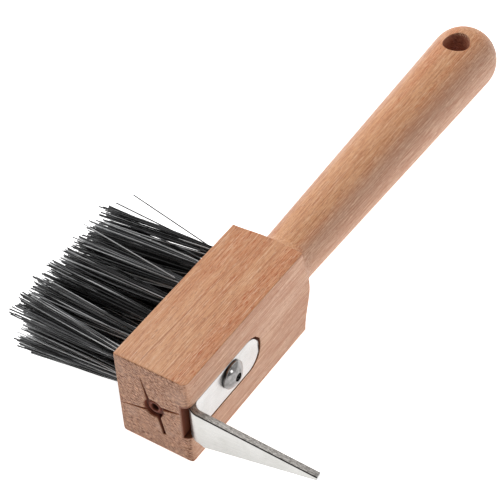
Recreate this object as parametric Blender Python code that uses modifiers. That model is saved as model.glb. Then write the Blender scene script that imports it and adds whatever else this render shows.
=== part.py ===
"""Hoof pick brush: one piece of beech forms a block and a turned handle, stiff bristle
tufts are stapled into one side of the block, and a bent steel pick is riveted into a
slot in the other side.

The brush lies on the broad lower face of its block. +X runs from the nose to the handle,
+Y is the bristle side, -Y is the pick side and +Z is up. The origin is the centre of the
block's lower face.
"""

import math

import bmesh
import bpy
from mathutils import Matrix, Vector

PRODUCT = "hoof_pick_brush"
GAP = 0.0003
FINE_MERGE = 0.00001
CUT_OVER = 0.004
STOCK_SPARE = 0.010
SMOOTH_ANGLE = math.radians(40.0)

# Block
BLOCK_LENGTH = 0.080
BLOCK_DEPTH = 0.0326
BLOCK_HEIGHT = 0.0432
SIDE_ROUND = 0.0005
LOWER_BRISTLE_ROUND = 0.0030
NOSE_EDGE_ROUND = 0.0008
PICK_CORNER_ROUND = 0.0034
ROUND_STEPS = 3

# Turned shoulder and handle, measured from the nose
SHOULDER_LENGTH = 0.014
NECK_RADIUS = 0.0119
HANDLE_END_RADIUS = 0.01545
TOTAL_LENGTH = 0.258
SHOULDER_STEPS = 9
END_STEPS = 10
TURNED_SIDES = 64

# Hang hole through the handle
HANG_HOLE_FROM_NOSE = 0.2355
HANG_HOLE_RADIUS = 0.0060
HANG_RIM_WIDTH = 0.0013
HANG_RIM_DEPTH = 0.0022
HANG_RIM_STEPS = 3
HANG_SIDES = 40

# Drive spur mark left in the nose by turning
SPUR_RING_RADIUS = 0.0045
SPUR_RING_DEPTH = 0.0012
SPUR_POINT_RADIUS = 0.0017
SPUR_POINT_DEPTH = 0.0060
SPUR_SLIT_WIDTH = 0.0010
SPUR_SLIT_DEPTH = 0.0018
SPUR_SLIT_LAP = 0.0008
SPUR_SLIT_LENGTHS = (0.0155, 0.0124, 0.0140, 0.0148)
SPUR_SLIT_OFFSET = 0.0013
SPUR_TURN = math.radians(12.5)

# Steel pick, a bar of standard 16 by 3 mm section
BAR_WIDTH = 0.0160
BAR_THICKNESS = 0.0030
BAR_END_FROM_NOSE = 0.0471
BAR_EDGE_ROUND = 0.00035
BAR_EDGE_ANGLE = math.radians(50.0)
BEND_FROM_NOSE = 0.0070
BEND_RADIUS = 0.0054
HOOK_LEAN = math.radians(3.5)
HOOK_REACH = 0.0695
TIP_WIDTH = 0.0018
HEEL_SPREAD = 0.0016
HEEL_RUN = 0.0020
END_ARC_STEPS = 10
BEND_STEPS = 9
HOOK_STEPS = 5

# Slot for the bar, with more room under it than over it
SLOT_LOWER_GAP = 0.0006
SLOT_WIDTH = BAR_WIDTH + GAP + SLOT_LOWER_GAP
SLOT_HEIGHT = BLOCK_HEIGHT / 2 - (SLOT_LOWER_GAP - GAP) / 2
SLOT_DEPTH = BAR_THICKNESS + GAP
SLOT_END_FROM_NOSE = 0.0482
SLOT_ARC_STEPS = 24

# Blind rivet with a 6.4 mm sleeve and a domed head
RIVET_FROM_NOSE = 0.0282
RIVET_HEIGHT = BLOCK_HEIGHT / 2 + 0.0018
RIVET_HEAD_RADIUS = 0.0060
RIVET_HEAD_HEIGHT = 0.0034
RIVET_RIM_HEIGHT = 0.0007
RIVET_SLEEVE_RADIUS = 0.0032
RIVET_SLEEVE_LENGTH = 0.0120
RIVET_BORE_RADIUS = 0.0018
RIVET_LIP_WIDTH = 0.0003
RIVET_LIP_DEPTH = 0.0004
MANDREL_RADIUS = 0.0015
MANDREL_CHAMFER = 0.0003
MANDREL_BULB_RADIUS = 0.0029
MANDREL_BULB_LENGTH = 0.0026
MANDREL_SET_BACK = 0.0003
RIVET_HOLE_RADIUS = RIVET_SLEEVE_RADIUS + GAP
RIVET_HOLE_SPARE = 0.0005
DOME_STEPS = 7
RIVET_SIDES = 40

# Bristle tufts, in staggered rows counted from the top
ROW_COUNTS = (7, 6, 7, 6)
TUFT_PITCH = 0.01067
ROW_PITCH = 0.0061
FIELD_CENTRE_FROM_NOSE = 0.0415
TUFT_HOLE_RADIUS = 0.0025
TUFT_HOLE_DEPTH = 0.0130
TUFT_HOLE_SIDES = 20
TUFT_FREE_LENGTH = 0.0520
TUFT_ROOT_RADIUS = 0.00215
TUFT_TIP_RADIUS = 0.0044
TUFT_LEVELS = (0.18, 0.55, 1.0)
TUFT_FLARE_POWER = 0.6
TUFT_LOBES = 10
TUFT_LOBE_DIP = 0.10
TIP_UNEVENNESS = 0.0022
TIP_WAVE_ROUND = 2.4
TIP_WAVE_BY_TUFT = 1.7
FAN_HEIGHT = 1.30
LEAN_UP = 0.0025
LEAN_AT_NOSE = 0.0020
LEAN_AT_HANDLE = 0.0110

# Flat staple that pins each tuft in its hole
STAPLE_WIDTH = 0.0036
STAPLE_HEIGHT = 0.0030
STAPLE_THICKNESS = 0.0004
STAPLE_ABOVE_FLOOR = 0.0018
STAPLE_EDGE = 0.00008

NOSE_X = -BLOCK_LENGTH / 2
MID_HEIGHT = BLOCK_HEIGHT / 2
BRISTLE_FACE_Y = BLOCK_DEPTH / 2
PICK_FACE_Y = -BLOCK_DEPTH / 2


def clear_scene():
    for item in list(bpy.data.objects):
        bpy.data.objects.remove(item, do_unlink=True)


def new_collection(name):
    group = bpy.data.collections.new(name)
    bpy.context.scene.collection.children.link(group)
    return group


def principled(name, colour, metallic, roughness):
    material = bpy.data.materials.new(name)
    material.use_nodes = True
    shader = material.node_tree.nodes["Principled BSDF"]
    shader.inputs["Base Color"].default_value = (*colour, 1.0)
    shader.inputs["Metallic"].default_value = metallic
    shader.inputs["Roughness"].default_value = roughness
    return material


def add_object(name, mesh, group, material=None):
    item = bpy.data.objects.new(name, mesh)
    group.objects.link(item)
    if material is not None:
        mesh.materials.append(material)
    return item


def as_cutter(item):
    item.hide_render = True
    item.display_type = "WIRE"
    return item


def box_mesh(name, boxes):
    """One mesh of separate boxes, each given as (size, centre, turn about X)."""
    shape = bmesh.new()
    for size, centre, turn in boxes:
        place = Matrix.Translation(centre) @ Matrix.Rotation(turn, 4, "X")
        scale = Matrix.Diagonal((*size, 1.0))
        bmesh.ops.create_cube(shape, size=1.0, matrix=place @ scale)
    mesh = bpy.data.meshes.new(name)
    shape.to_mesh(mesh)
    shape.free()
    return mesh


def cylinder_mesh(name, radius, depth, sides, places):
    """One mesh of separate cylinders of one size, each given as a matrix."""
    shape = bmesh.new()
    for place in places:
        bmesh.ops.create_cone(
            shape,
            cap_ends=True,
            segments=sides,
            radius1=radius,
            radius2=radius,
            depth=depth,
            matrix=place,
        )
    for face in shape.faces:
        face.smooth = len(face.verts) == 4
    mesh = bpy.data.meshes.new(name)
    shape.to_mesh(mesh)
    shape.free()
    return mesh


def turned(name, profile, sides, closed, group, material=None):
    """A turned solid about local Z. The profile's (radius, height) points run down its outer side."""
    shape = bmesh.new()
    corners = [shape.verts.new((radius, 0.0, height)) for radius, height in profile]
    for first, second in zip(corners, corners[1:]):
        shape.edges.new((first, second))
    if closed:
        shape.edges.new((corners[-1], corners[0]))
    mesh = bpy.data.meshes.new(name)
    shape.to_mesh(mesh)
    shape.free()
    item = add_object(name, mesh, group, material)
    screw = item.modifiers.new("Turn", "SCREW")
    screw.steps = sides
    screw.render_steps = sides
    screw.use_merge_vertices = True
    screw.merge_threshold = FINE_MERGE
    screw.use_smooth_shade = True
    return item


def flat_outline(name, points, thickness, group):
    """A slab of the given (x, y) outline, centred on its plane, as a mesh."""
    curve = bpy.data.curves.new(name + "_outline", "CURVE")
    curve.dimensions = "2D"
    curve.fill_mode = "BOTH"
    curve.extrude = thickness / 2
    spline = curve.splines.new("POLY")
    spline.points.add(len(points) - 1)
    spline.use_cyclic_u = True
    for point, (x, y) in zip(spline.points, points):
        point.co = (x, y, 0.0, 1.0)
    drawn = bpy.data.objects.new(name + "_outline", curve)
    group.objects.link(drawn)
    depsgraph = bpy.context.evaluated_depsgraph_get()
    mesh = bpy.data.meshes.new_from_object(drawn.evaluated_get(depsgraph))
    shape = bmesh.new()
    shape.from_mesh(mesh)
    bmesh.ops.remove_doubles(shape, verts=shape.verts, dist=FINE_MERGE)
    bmesh.ops.recalc_face_normals(shape, faces=shape.faces)
    shape.to_mesh(mesh)
    shape.free()
    bpy.data.objects.remove(drawn, do_unlink=True)
    return add_object(name, mesh, group)


def boolean(item, other, operation="DIFFERENCE"):
    cut = item.modifiers.new(other.name, "BOOLEAN")
    cut.operation = operation
    cut.solver = "EXACT"
    cut.object = other


def bevel(item, width, steps, limit):
    rounding = item.modifiers.new("Rounded edges", "BEVEL")
    rounding.width = width
    rounding.segments = steps
    rounding.limit_method = limit
    return rounding


def smooth(mesh):
    mesh.shade_smooth()
    mesh.set_sharp_from_angle(angle=SMOOTH_ANGLE)


# Wooden body ---------------------------------------------------------------------------


def edge_round(first, second):
    """Rounding of the stock's edge between two corners. The long edges are crisp, but for one."""
    if max(first.x, second.x) > 0.0:
        under_bristles = min(first.y, second.y) > 0.0 and max(first.z, second.z) < FINE_MERGE
        return LOWER_BRISTLE_ROUND if under_bristles else SIDE_ROUND
    upright = abs(first.z - second.z) > FINE_MERGE
    return PICK_CORNER_ROUND if upright and first.y < 0.0 else NOSE_EDGE_ROUND


def rounded_blank(group, material):
    """The square stock, as long as the whole brush, with its edges eased."""
    start = NOSE_X
    end = NOSE_X + TOTAL_LENGTH + STOCK_SPARE
    size = (end - start, BLOCK_DEPTH, BLOCK_HEIGHT)
    centre = Vector(((start + end) / 2, 0.0, MID_HEIGHT))
    mesh = box_mesh("block_and_handle", [(size, centre, 0.0)])
    weights = mesh.attributes.new("bevel_weight_edge", "FLOAT", "EDGE")
    for edge in mesh.edges:
        first, second = (mesh.vertices[corner].co for corner in edge.vertices)
        weights.data[edge.index].value = edge_round(first, second) / PICK_CORNER_ROUND
    item = add_object("block_and_handle", mesh, group, material)
    bevel(item, PICK_CORNER_ROUND, ROUND_STEPS, "WEIGHT")
    return item


def turned_outline():
    """Radius and distance from the nose of the turned surface, from the end to the nose."""
    corner_radius = math.hypot(BLOCK_DEPTH / 2, BLOCK_HEIGHT / 2)
    end_centre = TOTAL_LENGTH - HANDLE_END_RADIUS
    points = [(0.0, TOTAL_LENGTH)]
    for step in range(1, END_STEPS + 1):
        angle = math.pi / 2 * step / END_STEPS
        radius = HANDLE_END_RADIUS * math.sin(angle)
        points.append((radius, end_centre + HANDLE_END_RADIUS * math.cos(angle)))
    for step in range(SHOULDER_STEPS + 1):
        angle = math.pi / 2 * (1 - step / SHOULDER_STEPS)
        radius = corner_radius - (corner_radius - NECK_RADIUS) * math.sin(angle)
        points.append((radius, BLOCK_LENGTH + SHOULDER_LENGTH * (1 - math.cos(angle))))
    points.append((corner_radius + STOCK_SPARE, BLOCK_LENGTH))
    points.append((corner_radius + STOCK_SPARE, -STOCK_SPARE))
    points.append((0.0, -STOCK_SPARE))
    return points


def turning_guide(group):
    item = turned("turning_guide", turned_outline(), TURNED_SIDES, False, group)
    item.location = (NOSE_X, 0.0, MID_HEIGHT)
    item.rotation_euler = (0.0, math.pi / 2, 0.0)
    return as_cutter(item)


def hang_hole_cutter(group):
    """A cutter that widens toward both sides, for the rounded rim of the hang hole."""
    reach = HANDLE_END_RADIUS + CUT_OVER
    rim_start = HANDLE_END_RADIUS - HANG_RIM_DEPTH
    upper = [(0.0, reach), (HANG_HOLE_RADIUS + HANG_RIM_WIDTH, reach)]
    for step in range(HANG_RIM_STEPS + 1):
        angle = math.pi / 2 * step / HANG_RIM_STEPS
        radius = HANG_HOLE_RADIUS + HANG_RIM_WIDTH * (1 - math.sin(angle))
        upper.append((radius, rim_start + HANG_RIM_DEPTH * math.cos(angle)))
    lower = [(radius, -height) for radius, height in reversed(upper)]
    item = turned("hang_hole_cutter", upper + lower, HANG_SIDES, False, group)
    item.location = (NOSE_X + HANG_HOLE_FROM_NOSE, 0.0, MID_HEIGHT)
    return as_cutter(item)


def slot_cutter(group):
    """A round-ended slab that runs out through the nose."""
    half = SLOT_WIDTH / 2
    arc_centre = NOSE_X + SLOT_END_FROM_NOSE - half
    points = [(NOSE_X - CUT_OVER, half), (NOSE_X - CUT_OVER, -half)]
    for step in range(SLOT_ARC_STEPS + 1):
        angle = math.pi * (step / SLOT_ARC_STEPS - 0.5)
        points.append((arc_centre + half * math.cos(angle), half * math.sin(angle)))
    item = flat_outline("slot_cutter", points, 2 * SLOT_DEPTH, group)
    item.location = (0.0, PICK_FACE_Y, SLOT_HEIGHT)
    item.rotation_euler = (math.pi / 2, 0.0, 0.0)
    return as_cutter(item)


def across_block(x, y, z):
    """Places a cylinder's axis along Y."""
    return Matrix.Translation((x, y, z)) @ Matrix.Rotation(math.pi / 2, 4, "X")


def rivet_floor_y():
    return PICK_FACE_Y - GAP + RIVET_SLEEVE_LENGTH + GAP + MANDREL_BULB_LENGTH + RIVET_HOLE_SPARE


def rivet_hole_cutter(name, end_y, group):
    start_y = PICK_FACE_Y - CUT_OVER
    place = across_block(NOSE_X + RIVET_FROM_NOSE, (start_y + end_y) / 2, RIVET_HEIGHT)
    mesh = cylinder_mesh(name, RIVET_HOLE_RADIUS, end_y - start_y, RIVET_SIDES, [place])
    return as_cutter(add_object(name, mesh, group))


def tuft_sites():
    """Row number, number in the row, and the hole's (x, z) on the bristle face."""
    rows = len(ROW_COUNTS)
    field_centre = NOSE_X + FIELD_CENTRE_FROM_NOSE
    for row, count in enumerate(ROW_COUNTS):
        height = MID_HEIGHT + ROW_PITCH * ((rows - 1) / 2 - row)
        for number in range(count):
            along = field_centre + TUFT_PITCH * (number - (count - 1) / 2)
            yield row + 1, number + 1, along, height


def tuft_hole_cutter(group):
    centre_y = BRISTLE_FACE_Y + (CUT_OVER - TUFT_HOLE_DEPTH) / 2
    places = [across_block(x, centre_y, z) for _, _, x, z in tuft_sites()]
    depth = TUFT_HOLE_DEPTH + CUT_OVER
    mesh = cylinder_mesh("tuft_hole_cutter", TUFT_HOLE_RADIUS, depth, TUFT_HOLE_SIDES, places)
    return as_cutter(add_object("tuft_hole_cutter", mesh, group))


def spur_disc_cutter(name, radius, depth, group):
    """A round recess of the given depth in the middle of the nose."""
    place = Matrix.Translation((NOSE_X + (depth - CUT_OVER) / 2, 0.0, MID_HEIGHT))
    place = place @ Matrix.Rotation(math.pi / 2, 4, "Y")
    mesh = cylinder_mesh(name, radius, depth + CUT_OVER, RIVET_SIDES, [place])
    return as_cutter(add_object(name, mesh, group))


def spur_slit_cutter(group):
    """Four thin blades around the centre of the nose, each set to one side of it."""
    inner = SPUR_RING_RADIUS - SPUR_SLIT_LAP
    blades = []
    for quarter, length in enumerate(SPUR_SLIT_LENGTHS):
        turn = quarter * math.pi / 2 - SPUR_TURN
        offset = Vector((0.0, SPUR_SLIT_OFFSET, (inner + length) / 2))
        outward = Matrix.Rotation(turn, 3, "X") @ offset
        centre = Vector((NOSE_X + (SPUR_SLIT_DEPTH - CUT_OVER) / 2, 0.0, MID_HEIGHT)) + outward
        size = (SPUR_SLIT_DEPTH + CUT_OVER, SPUR_SLIT_WIDTH, length - inner)
        blades.append((size, centre, turn))
    mesh = box_mesh("spur_slit_cutter", blades)
    return as_cutter(add_object("spur_slit_cutter", mesh, group))


def make_body(parts, cutters):
    beech = principled("beech", (0.60, 0.34, 0.18), 0.0, 0.55)
    body = rounded_blank(parts, beech)
    boolean(body, turning_guide(cutters), "INTERSECT")
    boolean(body, hang_hole_cutter(cutters))
    boolean(body, slot_cutter(cutters))
    boolean(body, rivet_hole_cutter("rivet_hole_cutter", rivet_floor_y(), cutters))
    boolean(body, tuft_hole_cutter(cutters))
    boolean(body, spur_disc_cutter("spur_ring_cutter", SPUR_RING_RADIUS, SPUR_RING_DEPTH, cutters))
    boolean(body, spur_disc_cutter("spur_point_cutter", SPUR_POINT_RADIUS, SPUR_POINT_DEPTH, cutters))
    boolean(body, spur_slit_cutter(cutters))
    return body


# Steel pick ----------------------------------------------------------------------------


def pick_stations():
    """Points along the bar's middle surface, from the round end, each with its reach up and down."""
    half = BAR_WIDTH / 2
    middle_y = PICK_FACE_Y + BAR_THICKNESS / 2
    end_x = NOSE_X + BAR_END_FROM_NOSE
    for step in range(1, END_ARC_STEPS + 1):
        angle = math.pi / 2 * step / END_ARC_STEPS
        reach = half * math.sin(angle)
        yield end_x - half * (1 - math.cos(angle)), middle_y, reach, reach
    bend_x = NOSE_X + BEND_FROM_NOSE
    bend_y = middle_y - BEND_RADIUS
    turn = math.pi / 2 - HOOK_LEAN
    for step in range(BEND_STEPS + 1):
        angle = turn * step / BEND_STEPS
        yield bend_x - BEND_RADIUS * math.sin(angle), bend_y + BEND_RADIUS * math.cos(angle), half, half
    hook_x = bend_x - BEND_RADIUS * math.sin(turn)
    hook_y = bend_y + BEND_RADIUS * math.cos(turn)
    length = (hook_y + HOOK_REACH) / math.cos(HOOK_LEAN)
    for part in (HEEL_RUN / length, *(step / HOOK_STEPS for step in range(1, HOOK_STEPS + 1))):
        up = half + (TIP_WIDTH / 2 - half) * part
        down = up + HEEL_SPREAD * (1 - part)
        along = length * part
        yield hook_x + along * math.sin(HOOK_LEAN), hook_y - along * math.cos(HOOK_LEAN), up, down


def make_pick(parts, cutters):
    """A ribbon along the bar's middle surface, thickened, rounded and drilled."""
    shape = bmesh.new()
    rungs = []
    for x, y, up, down in pick_stations():
        low = shape.verts.new((x, y, MID_HEIGHT - down))
        high = shape.verts.new((x, y, MID_HEIGHT + up))
        rungs.append((low, high))
    for (low, high), (next_low, next_high) in zip(rungs, rungs[1:]):
        shape.faces.new((low, next_low, next_high, high))
    mesh = bpy.data.meshes.new("pick")
    shape.to_mesh(mesh)
    shape.free()
    steel = principled("pick_steel", (0.78, 0.78, 0.76), 1.0, 0.30)
    pick = add_object("pick", mesh, parts, steel)
    plate = pick.modifiers.new("Bar thickness", "SOLIDIFY")
    plate.thickness = BAR_THICKNESS
    plate.offset = 0.0
    plate.use_even_offset = True
    past_bar = PICK_FACE_Y + BAR_THICKNESS + CUT_OVER
    boolean(pick, rivet_hole_cutter("pick_hole_cutter", past_bar, cutters))
    bevel(pick, BAR_EDGE_ROUND, 2, "ANGLE").angle_limit = BAR_EDGE_ANGLE
    return pick


# Blind rivet ---------------------------------------------------------------------------


def dome_height(radius):
    """Height of the domed head above its underside, at a distance from the axis."""
    rise = RIVET_HEAD_HEIGHT - RIVET_RIM_HEIGHT
    ball = (RIVET_HEAD_RADIUS**2 + rise**2) / (2 * rise)
    return RIVET_HEAD_HEIGHT - ball + math.sqrt(ball**2 - radius**2)


def on_rivet_axis(item):
    """Stands a turned piece on the pick's face, its local Z pointing away from the block."""
    item.location = (NOSE_X + RIVET_FROM_NOSE, PICK_FACE_Y - GAP, RIVET_HEIGHT)
    item.rotation_euler = (math.pi / 2, 0.0, 0.0)
    return item


def make_rivet_body(parts):
    lip_radius = RIVET_BORE_RADIUS + RIVET_LIP_WIDTH
    profile = [(RIVET_BORE_RADIUS, dome_height(RIVET_BORE_RADIUS) - RIVET_LIP_DEPTH)]
    for step in range(DOME_STEPS + 1):
        radius = lip_radius + (RIVET_HEAD_RADIUS - lip_radius) * step / DOME_STEPS
        profile.append((radius, dome_height(radius)))
    profile.append((RIVET_HEAD_RADIUS, 0.0))
    profile.append((RIVET_SLEEVE_RADIUS, 0.0))
    profile.append((RIVET_SLEEVE_RADIUS, -RIVET_SLEEVE_LENGTH))
    profile.append((RIVET_BORE_RADIUS, -RIVET_SLEEVE_LENGTH))
    steel = principled("rivet_steel", (0.42, 0.42, 0.44), 1.0, 0.22)
    return on_rivet_axis(turned("rivet_body", profile, RIVET_SIDES, True, parts, steel))


def make_mandrel(parts):
    top = dome_height(RIVET_BORE_RADIUS) - MANDREL_SET_BACK
    bulb_top = -RIVET_SLEEVE_LENGTH - GAP
    bulb_end = bulb_top - MANDREL_BULB_LENGTH
    profile = [
        (0.0, top),
        (MANDREL_RADIUS - MANDREL_CHAMFER, top),
        (MANDREL_RADIUS, top - MANDREL_CHAMFER),
        (MANDREL_RADIUS, bulb_top),
        (MANDREL_BULB_RADIUS - MANDREL_CHAMFER, bulb_top),
        (MANDREL_BULB_RADIUS, bulb_top - MANDREL_CHAMFER),
        (MANDREL_BULB_RADIUS, bulb_end + 2 * MANDREL_CHAMFER),
        (MANDREL_BULB_RADIUS - 2 * MANDREL_CHAMFER, bulb_end),
        (0.0, bulb_end),
    ]
    steel = principled("mandrel_steel", (0.55, 0.55, 0.55), 1.0, 0.40)
    return on_rivet_axis(turned("rivet_mandrel", profile, RIVET_SIDES, False, parts, steel))


# Bristle tufts and their staples -------------------------------------------------------


def lean_toward_nose(x):
    """The tufts lean more the nearer they stand to the handle, so that the tips draw together."""
    half_field = TUFT_PITCH * (max(ROW_COUNTS) - 1) / 2
    along = (x - NOSE_X - FIELD_CENTRE_FROM_NOSE) / half_field
    return LEAN_AT_NOSE + (LEAN_AT_HANDLE - LEAN_AT_NOSE) * (along + 1) / 2


def tuft_levels(x, z):
    """Centre and radius of the tuft at each level, from the hole's floor to the tips."""
    floor = BRISTLE_FACE_Y - TUFT_HOLE_DEPTH + GAP
    tip_y = BRISTLE_FACE_Y + TUFT_FREE_LENGTH - TIP_UNEVENNESS
    tip_x = x - lean_toward_nose(x)
    tip_z = MID_HEIGHT + (z - MID_HEIGHT) * FAN_HEIGHT + LEAN_UP
    flare = TUFT_TIP_RADIUS - TUFT_ROOT_RADIUS
    yield Vector((x, floor, z)), TUFT_ROOT_RADIUS
    yield Vector((x, BRISTLE_FACE_Y + GAP, z)), TUFT_ROOT_RADIUS
    for part in TUFT_LEVELS:
        centre = Vector((x, BRISTLE_FACE_Y, z)).lerp(Vector((tip_x, tip_y, tip_z)), part)
        yield centre, TUFT_ROOT_RADIUS + flare * part**TUFT_FLARE_POWER


def make_tuft(name, x, z, seed, parts, material):
    """A bundle that fans out from its hole, ribbed along its length, with uneven tips."""
    points = 2 * TUFT_LOBES
    shape = bmesh.new()
    rings = []
    for centre, radius in tuft_levels(x, z):
        ring = []
        for index in range(points):
            angle = 2 * math.pi * index / points
            reach = radius * (1.0 - TUFT_LOBE_DIP * (index % 2))
            offset = Vector((reach * math.cos(angle), 0.0, reach * math.sin(angle)))
            ring.append(shape.verts.new(centre + offset))
        rings.append(ring)
    for index, corner in enumerate(rings[-1]):
        wave = math.sin(TIP_WAVE_ROUND * index + TIP_WAVE_BY_TUFT * seed)
        corner.co.y += TIP_UNEVENNESS * wave
    shape.faces.new(rings[0])
    for ring, further in zip(rings, rings[1:]):
        for index in range(points):
            following = (index + 1) % points
            shape.faces.new((ring[index], further[index], further[following], ring[following]))
    crown = shape.verts.new(centre + Vector((0.0, TIP_UNEVENNESS, 0.0)))
    for index in range(points):
        following = (index + 1) % points
        shape.faces.new((rings[-1][index], crown, rings[-1][following]))
    bmesh.ops.recalc_face_normals(shape, faces=shape.faces)
    mesh = bpy.data.meshes.new(name)
    shape.to_mesh(mesh)
    shape.free()
    smooth(mesh)
    return add_object(name, mesh, parts, material)


def staple_centre(x, z):
    floor = BRISTLE_FACE_Y - TUFT_HOLE_DEPTH
    return Vector((x, floor + STAPLE_ABOVE_FLOOR + STAPLE_HEIGHT / 2, z))


def staple_window_cutter(group):
    """A box through every tuft, which leaves the staple room between the folded bristles."""
    size = (4 * TUFT_ROOT_RADIUS, STAPLE_HEIGHT + 2 * GAP, STAPLE_THICKNESS + 2 * GAP)
    boxes = [(size, staple_centre(x, z), 0.0) for _, _, x, z in tuft_sites()]
    mesh = box_mesh("staple_window_cutter", boxes)
    return as_cutter(add_object("staple_window_cutter", mesh, group))


def make_bristles(parts, cutters):
    bristle = principled("bristle", (0.035, 0.036, 0.038), 0.0, 0.45)
    wire = principled("staple_wire", (0.62, 0.60, 0.56), 1.0, 0.45)
    window = staple_window_cutter(cutters)
    size = (STAPLE_WIDTH, STAPLE_HEIGHT, STAPLE_THICKNESS)
    staple_mesh = box_mesh("staple", [(size, Vector((0.0, 0.0, 0.0)), 0.0)])
    staple_mesh.materials.append(wire)
    for seed, (row, number, x, z) in enumerate(tuft_sites()):
        tuft = make_tuft(f"tuft_row{row}_{number}", x, z, seed, parts, bristle)
        boolean(tuft, window)
        staple = add_object(f"staple_row{row}_{number}", staple_mesh, parts)
        staple.location = staple_centre(x, z)
        bevel(staple, STAPLE_EDGE, 1, "ANGLE")


def main():
    clear_scene()
    parts = new_collection(PRODUCT)
    cutters = new_collection(PRODUCT + "_cutters")
    make_body(parts, cutters)
    make_pick(parts, cutters)
    make_rivet_body(parts)
    make_mandrel(parts)
    make_bristles(parts, cutters)
    bpy.context.view_layer.update()


main()
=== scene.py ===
"""Looks of the hoof pick brush: beech block and handle, bent steel pick, blind rivet and
hundreds of stiff bristle filaments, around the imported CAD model.

Everything is in metres in the model's frame: +X from the nose to the handle, +Y the
bristle side, -Y the pick side, +Z up, with the block lying on Z = 0.
"""

import math
import random

import bmesh
import bpy
from mathutils import Matrix, Vector


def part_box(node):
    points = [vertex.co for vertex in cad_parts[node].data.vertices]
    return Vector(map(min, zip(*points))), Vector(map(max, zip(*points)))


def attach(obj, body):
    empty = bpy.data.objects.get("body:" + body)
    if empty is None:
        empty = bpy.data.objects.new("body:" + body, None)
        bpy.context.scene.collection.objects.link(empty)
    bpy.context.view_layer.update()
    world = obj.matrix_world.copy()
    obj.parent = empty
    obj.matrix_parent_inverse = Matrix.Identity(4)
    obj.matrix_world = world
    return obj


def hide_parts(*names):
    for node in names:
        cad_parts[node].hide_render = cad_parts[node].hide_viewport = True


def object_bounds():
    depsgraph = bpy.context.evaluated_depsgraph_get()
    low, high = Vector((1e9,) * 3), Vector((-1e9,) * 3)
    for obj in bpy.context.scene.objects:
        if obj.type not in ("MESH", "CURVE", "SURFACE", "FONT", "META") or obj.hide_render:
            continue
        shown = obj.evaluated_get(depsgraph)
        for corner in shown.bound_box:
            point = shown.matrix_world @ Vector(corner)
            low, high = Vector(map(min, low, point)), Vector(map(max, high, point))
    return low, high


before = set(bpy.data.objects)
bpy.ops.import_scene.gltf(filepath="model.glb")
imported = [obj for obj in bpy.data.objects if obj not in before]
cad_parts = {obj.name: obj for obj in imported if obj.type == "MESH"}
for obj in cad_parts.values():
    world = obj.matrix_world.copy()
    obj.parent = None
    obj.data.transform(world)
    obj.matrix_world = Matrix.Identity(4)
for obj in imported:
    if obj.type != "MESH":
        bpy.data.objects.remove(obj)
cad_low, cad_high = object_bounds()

MM = 0.001
WELD = 0.00001

# How far cutters, the uncut wood and the turned surface's blank reach past the finished wood
CUT_OVER = 4.0 * MM
STOCK_OVER = 10.0 * MM
TURNING_OVER = 12.0 * MM

# Camera, in the model's frame
CAMERA_PLACE = (-0.35375, -0.27510, 0.50087)
CAMERA_TURN = (45.9785, 2.6696, -56.7939)
CAMERA_LENS = 122.302

# Studio
FLOOR_GLOW = 0.97
OPEN_SIDE = (-0.58, -0.42, 0.60)
TENT_BRIGHT = 0.75
TENT_DARK = 0.09
GLINT_DISTANCE = 0.8
GLINT_FACING = (-0.28, -0.77, 0.57)
GLINT_SIZE = (0.13, 0.13)
GLINT_POWER = 0.5
KEY_OFFSET = (0.12, 0.50, 0.75)
KEY_SIZE = (0.35, 0.35)
KEY_POWER = 4.5
FLOOR_GAP = 0.2 * MM

# Wooden body
SIDE_ROUND = 0.5 * MM
LOWER_BRISTLE_ROUND = 3.0 * MM
NOSE_EDGE_ROUND = 0.8 * MM
PICK_CORNER_ROUND = 3.4 * MM
ROUND_STEPS = 6
BLOCK_LENGTH = 80.0 * MM
SHOULDER_LENGTH = 14.0 * MM
NECK_RADIUS = 11.9 * MM
HANDLE_END_RADIUS = 15.45 * MM
SHOULDER_STEPS = 16
HANDLE_STEPS = 12
END_STEPS = 18
TURNED_SIDES = 144
HANG_HOLE_FROM_END = 22.5 * MM
HANG_HOLE_RADIUS = 6.0 * MM
HANG_RIM_WIDTH = 1.3 * MM
HANG_RIM_DEPTH = 2.2 * MM
HANG_RIM_STEPS = 6
SLOT_PAST_BAR = 1.2 * MM
SLOT_UPPER_GAP = 0.3 * MM
SLOT_LOWER_GAP = 0.6 * MM
SLOT_TEAR = 0.30 * MM
SLOT_SEED = 5
SLOT_ARC_STEPS = 60
SPUR_RING_RADIUS = 4.5 * MM
SPUR_GROOVE_DEPTH = 1.7 * MM
SPUR_CRATER_RADIUS = 2.5 * MM
SPUR_CRATER_DEPTH = 0.9 * MM
SPUR_POINT_RADIUS = 1.7 * MM
SPUR_POINT_DEPTH = 6.0 * MM
SPUR_SLIT_OFFSET = 1.3 * MM
SPUR_TURN = math.radians(12.5)
TUFT_HOLE_RADIUS = 2.5 * MM
TUFT_HOLE_DEPTH = 13.0 * MM

# The spur's four cuts, from the upper one round to the bristle side: their length, width and
# depth, and the share of the width and depth that is left at the far end
SPUR_SLITS = (
    (15.5 * MM, 2.2 * MM, 2.2 * MM, 0.20),
    (12.6 * MM, 2.4 * MM, 1.8 * MM, 0.25),
    (12.9 * MM, 2.2 * MM, 3.0 * MM, 0.90),
    (14.8 * MM, 1.5 * MM, 0.7 * MM, 0.30),
)

# Growth line on the broad faces
GROWTH_LINE_Y = 3.9 * MM
GROWTH_LINE_SLANT = 0.035
GROWTH_LINE_WOBBLE = 1.2 * MM
GROWTH_LINE_CORE = 0.05 * MM
GROWTH_LINE_EDGE = 0.32 * MM

# Pick
BAR_THICKNESS = 3.0 * MM
BAR_EDGE_ROUND = 0.4 * MM
BEND_RADIUS = 5.4 * MM
HOOK_LEAN = math.radians(3.5)
TIP_WIDTH = 1.8 * MM
HEEL_SPREAD = 1.6 * MM
HEEL_RUN = 2.0 * MM
PICK_HOLE_LENGTH = 16.0 * MM

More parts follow.
